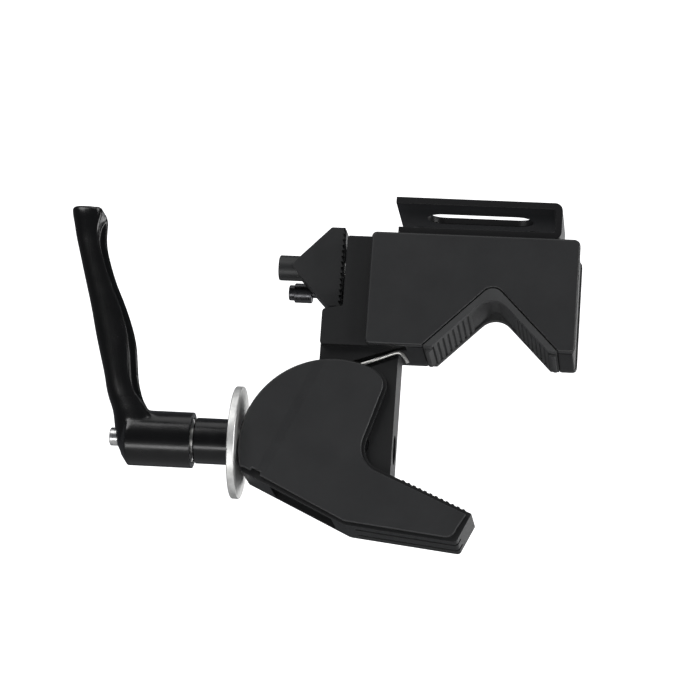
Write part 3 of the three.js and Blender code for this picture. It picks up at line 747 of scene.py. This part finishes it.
# ---- Lever ----
LEVER_VOXEL, LEVER_RIM = 0.32, 1.25
FULLNESS = 0.75      # under 1 makes the arm's far side squarer than an ellipse
CORNER_X, CORNER_Z, MELT_REACH, MELT_FADE = -132.0, -49.5, 11.0, 4.0
LEVER_ROWS = [  # z, left x, right x, half width, channel depth
    (-67.4, -137.0, -129, 4.5, 0), (-66.0, -138.6, -128, 6.4, 0), (-62, -140.9, -125.5, 8.2, 0),
    (-58.4, -141.9, -124.5, 9.4, 0), (-54, -142.7, -125.0, 9.5, 0), (-50, -143.5, -127.8, 9.4, 0),
    (-47, -144.5, -130.2, 9.1, 0.2), (-44, -145.8, -132.2, 8.8, 1.0), (-40, -147.1, -134.3, 8.3, 2.6),
    (-34, -148.6, -136.0, 7.8, 3.2), (-20, -152.8, -138.1, 7.2, 3.2), (-8, -156.0, -142.3, 6.8, 3.2),
    (4, -159.6, -147.9, 6.4, 3.2), (14, -162.6, -151.6, 6.2, 3.2), (20, -164.4, -152.9, 6.1, 3.0),
    (25, -165.6, -153.2, 6.3, 2.4), (28, -166.4, -153.4, 6.5, 1.0), (30.4, -166.8, -154.2, 6.3, 0),
    (31.4, -166.5, -155.4, 5.6, 0),
]


def between(rows, steps):
    """Smooth rows between the given ones."""
    out = []
    for i in range(len(rows) - 1):
        p0, p1 = rows[max(0, i - 1)], rows[i]
        p2, p3 = rows[i + 1], rows[min(len(rows) - 1, i + 2)]
        for k in range(steps):
            t = k / steps
            row = []
            for a, b, c, d in zip(p0, p1, p2, p3):
                value = 0.5 * (2 * b + (c - a) * t + (2 * a - 5 * b + 4 * c - d) * t * t
                               + (3 * b - a - 3 * c + d) * t ** 3)
                row.append(min(max(value, min(b, c)), max(b, c)))
            out.append(tuple(row))
    return out + [rows[-1]]


def lever_section(z, x0, x1, half, depth):
    """One row of the arm: rounded on the far side, a channel between two rims on the other.

    The channel faces a little to the front, so its front rim lies further left than its rear one.
    """
    cx, rx = (x0 + x1) / 2, (x1 - x0) / 2
    rim = LEVER_RIM
    points = []
    for i in range(29):
        a = math.radians(60 + 240 * i / 28)
        c, s = math.cos(a), math.sin(a)
        points.append((cx + rx * math.copysign(abs(c) ** FULLNESS, c),
                       half * math.copysign(abs(s) ** FULLNESS, s)))
    edge = x1 - 0.25
    low, high = -half * 0.93, half * 0.93
    lip = min(0.6, depth * 0.3)
    channel = [(0.8, low), (0, low + 0.8), (0, low + rim), (depth * 0.85, low + rim + 0.35),
               (depth, low + rim + 1.2), (depth, high - rim - 1.2), (depth * 0.85, high - rim - 0.5),
               (lip, high - rim - 0.25), (0, high - rim + 0.35), (0, high - 0.35), (0.5, high)]
    turned_in = min(1.7, depth * 0.6)
    points += [(edge - d - turned_in * (high - y) / (high - low), y) for d, y in channel]
    return [(x, y, z) for x, y in points]


def lever_arm():
    rows = [lever_section(*row) for row in between(LEVER_ROWS, 6)]
    n = len(rows[0])
    points = [p for row in rows for p in row]
    faces = [(r * n + i, r * n + (i + 1) % n, (r + 1) * n + (i + 1) % n, (r + 1) * n + i)
             for r in range(len(rows) - 1)
             for i in range(n)]
    faces += [tuple(range(n)), tuple((len(rows) - 1) * n + i for i in range(n))]
    return from_faces("lever_grip", points, faces)


def melt_into_hub(body):
    """Rounds the corner where the arm runs into the hub."""
    near = body.vertex_groups.new(name="near_hub")
    for vert in body.data.vertices:
        x, z = vert.co.x / MM, vert.co.z / MM
        away = math.hypot(x - CORNER_X, z - CORNER_Z)
        weight = min(1.0, max(0.0, (MELT_REACH - away) / MELT_FADE))
        if weight > 0:
            near.add([vert.index], weight, "REPLACE")
    ease = body.modifiers.new("ease", "SMOOTH")
    ease.vertex_group = near.name
    ease.factor = 0.5
    ease.iterations = 60
    settle(body)


def lever():
    body = lever_arm()
    profile = [(HUB_LEFT + 1.0, 0), (HUB_LEFT + 1.6, 7.0), (HUB_LEFT + 4.2, HUB_R),
               (HUB_RIGHT, HUB_R), (HUB_RIGHT, 0)]
    combine(body, turned("hub", profile, 0, SCREW_Z, 96), "UNION")
    skin = body.modifiers.new("skin", "REMESH")
    skin.mode = "VOXEL"
    skin.voxel_size = LEVER_VOXEL * MM
    settle(body)
    ease = body.modifiers.new("ease", "SMOOTH")
    ease.factor = 0.5
    ease.iterations = 4
    settle(body)
    melt_into_hub(body)
    carve(body, block("cut", HUB_RIGHT - HUB_FACE, -100, -15, 15, -80, -45))
    carve(body, rod("cut", 0, SCREW_Z, HUB_CUP_R, HUB_CUP_END, -100, "X", 64))
    carve(body, rod("cut", 0, SCREW_Z, INSERT_R, INSERT_END, -110, "X", 64))
    carve(body, rod("cut", 0, SCREW_Z, SCREW_R + GAP, SCREW_BORE_END, -110, "X", 48))
    carve(body, rod("cut", 0, SCREW_Z, SHANK_BORE_R, SPRING_BORE_END - 1, -110, "X"))
    carve(body, rod("cut", 0, SCREW_Z, SPRING_BORE_R, -160, SPRING_BORE_END, "X", 48))
    body.data.shade_smooth()
    body.data.set_sharp_from_angle(angle=math.radians(40))
    fit(body, "lever", "gloss_black", "gloss", "lever_handle")


# ---- Stud locks ----
def wing():
    z, teeth = FAN_Z, 14
    pitch = 2 * FAN_HALF / teeth
    corners = [(FAN_SHOULDER, z + FAN_HALF, 1), (FAN_APEX + 3.6, z + 4.2, 1), (FAN_APEX, z, 1.2),
               (FAN_APEX + 3.6, z - 4.2, 1), (FAN_SHOULDER, z - FAN_HALF, 1)]
    for i in range(teeth):
        low = z - FAN_HALF + i * pitch
        corners += [(FAN_RIGHT, low), (FAN_RIGHT - 0.9, low + 0.9 * pitch)]
    corners.append((FAN_RIGHT, z + FAN_HALF))
    body = soften(prism("wing_grip", rounded(corners, 4), -FAN_T, FAN_T), 0.06, 1)
    core = [(FAN_SHOULDER, z + FAN_HALF - 0.6), (FAN_APEX + 6, z), (FAN_SHOULDER, z - FAN_HALF + 0.6),
            (FAN_RIGHT + 0.4, z - FAN_HALF + 0.6), (FAN_RIGHT + 0.4, z + FAN_HALF - 0.6)]
    join(body, soften(prism("core", core, 1.2 - FAN_T, FAN_T - 1.2), 0.2, 2))
    profile = [(-84, 0), (-84, 4.3), (-83.85, 4.7), (-83.5, 4.9), (-64.4, 4.9), (-64.4, 0)]
    hub = turned("hub", profile, 0, z, 64)
    carve(hub, rod("cut", 0, z, 2.6, -90, -83.2, "X"))
    join(body, smooth(hub, 40))
    fit(body, "wing", "cast_black", "cover", "wing_knob")


def button():
    profile = [(-80.8, 0), (-80.8, 2.5), (-80.65, 2.85), (-80.4, 3.0), (-78.6, 3.0),
               (-78.6, 3.4), (-78.45, 3.7), (-78.2, 3.8), (-72.1, 3.8), (-71.8, 3.7),
               (-71.7, 3.4), (-71.7, 1.7), (-42, 1.7), (-42, 0)]
    head = smooth(turned("push_button", profile, BUTTON_Y, BUTTON_Z, 48), 40)
    fit(head, "button", "sheet_black", "dark_steel", "lock_button")
    spring = coil("button_coil", -59.6, -55.4, 2.25, 0.28, 5, BUTTON_Y, BUTTON_Z)
    fit(spring, "frame", "zinc_steel", "wire", "button_spring")


def carried_over():
    carry("barrel_nut", "dark_steel")
    for node in ("hinge_bush_front", "hinge_bush_rear", "lock_plug"):
        carry(node, "brass")
    for node in ("ratchet_insert", "spring_seat", "wing_screw"):
        carry(node, "zinc")


# ---- Stage, in metres ----
LENS, SENSOR = 160.8, 36  # millimetres, as Blender takes them
CAMERA_AT = Vector((0.0733, -1.1575, -0.2997))
AIM = Vector((-0.0526, -0.0170, -0.02418))
ROLL = math.radians(4.1)


def camera():
    data = bpy.data.cameras.new("camera")
    data.lens = LENS
    data.sensor_width = SENSOR
    thing = new_object("camera", data)
    thing.location = CAMERA_AT
    turn = (AIM - CAMERA_AT).to_track_quat("-Z", "Y")
    thing.rotation_mode = "QUATERNION"
    thing.rotation_quaternion = turn @ Quaternion((0, 0, 1), ROLL)
    bpy.context.scene.camera = thing
    bpy.context.scene.view_settings.view_transform = "Standard"


def softbox(name, at, size, power, look=(0, 0, -0.02)):
    data = bpy.data.lights.new(name, "AREA")
    data.shape = "RECTANGLE"
    data.size, data.size_y = size
    data.energy = power
    thing = new_object(name, data)
    thing.location = at
    thing.rotation_mode = "QUATERNION"
    thing.rotation_quaternion = (Vector(look) - Vector(at)).to_track_quat("-Z", "Y")
    thing.visible_camera = False


def plane(name, corners, color, glow):
    mesh = bpy.data.meshes.new(name)
    mesh.from_pydata(corners, [], [(0, 1, 2, 3)])
    thing = new_object(name, mesh)
    mat, _, shader = material(name, color, 0.9)
    shader.inputs["Emission Color"].default_value = (1, 1, 1, 1)
    shader.inputs["Emission Strength"].default_value = glow
    thing.data.materials.append(mat)
    return thing


def stage():
    wide, front, rear, low, high = 4, -4, 2, -1, 3.5
    ground = [(-wide, front, low), (wide, front, low), (wide, rear, low), (-wide, rear, low)]
    wall = [(-wide, rear, low), (wide, rear, low), (wide, rear, high), (-wide, rear, high)]
    plane("floor", ground, (0.8, 0.8, 0.8), 0.0)
    backdrop = plane("backdrop", wall, (0.85, 0.85, 0.85), 1.1)
    backdrop.visible_glossy = False
    backdrop.visible_diffuse = False
    world = bpy.data.worlds.new("world")
    bpy.context.scene.world = world
    world.use_nodes = True
    world.node_tree.nodes["Background"].inputs["Color"].default_value = (0.9, 0.93, 1, 1)
    world.node_tree.nodes["Background"].inputs["Strength"].default_value = 0.12
    softbox("key", (-0.75, -0.9, 0.85), (0.7, 0.7), 8)
    softbox("top", (0.1, -0.1, 1.1), (1.2, 0.8), 3.5)
    softbox("side", (0.95, -0.45, -0.05), (0.35, 0.9), 8)
    softbox("low_strip", (-0.1, -0.42, -0.46), (1.2, 0.10), 2.4)
    softbox("behind_right", (0.95, 1.35, 0.2), (1.1, 1.3), 8)


# ---- Build ----
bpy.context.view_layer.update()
casting()
front_cover()
rear_cover()
v_pad()
top_bracket()
frame_screws()
hinge_spring()
jaw_casting()
jaw_covers()
jaw_small_parts()
screw_parts()
lever()
wing()
button()
carried_over()
camera()
stage()
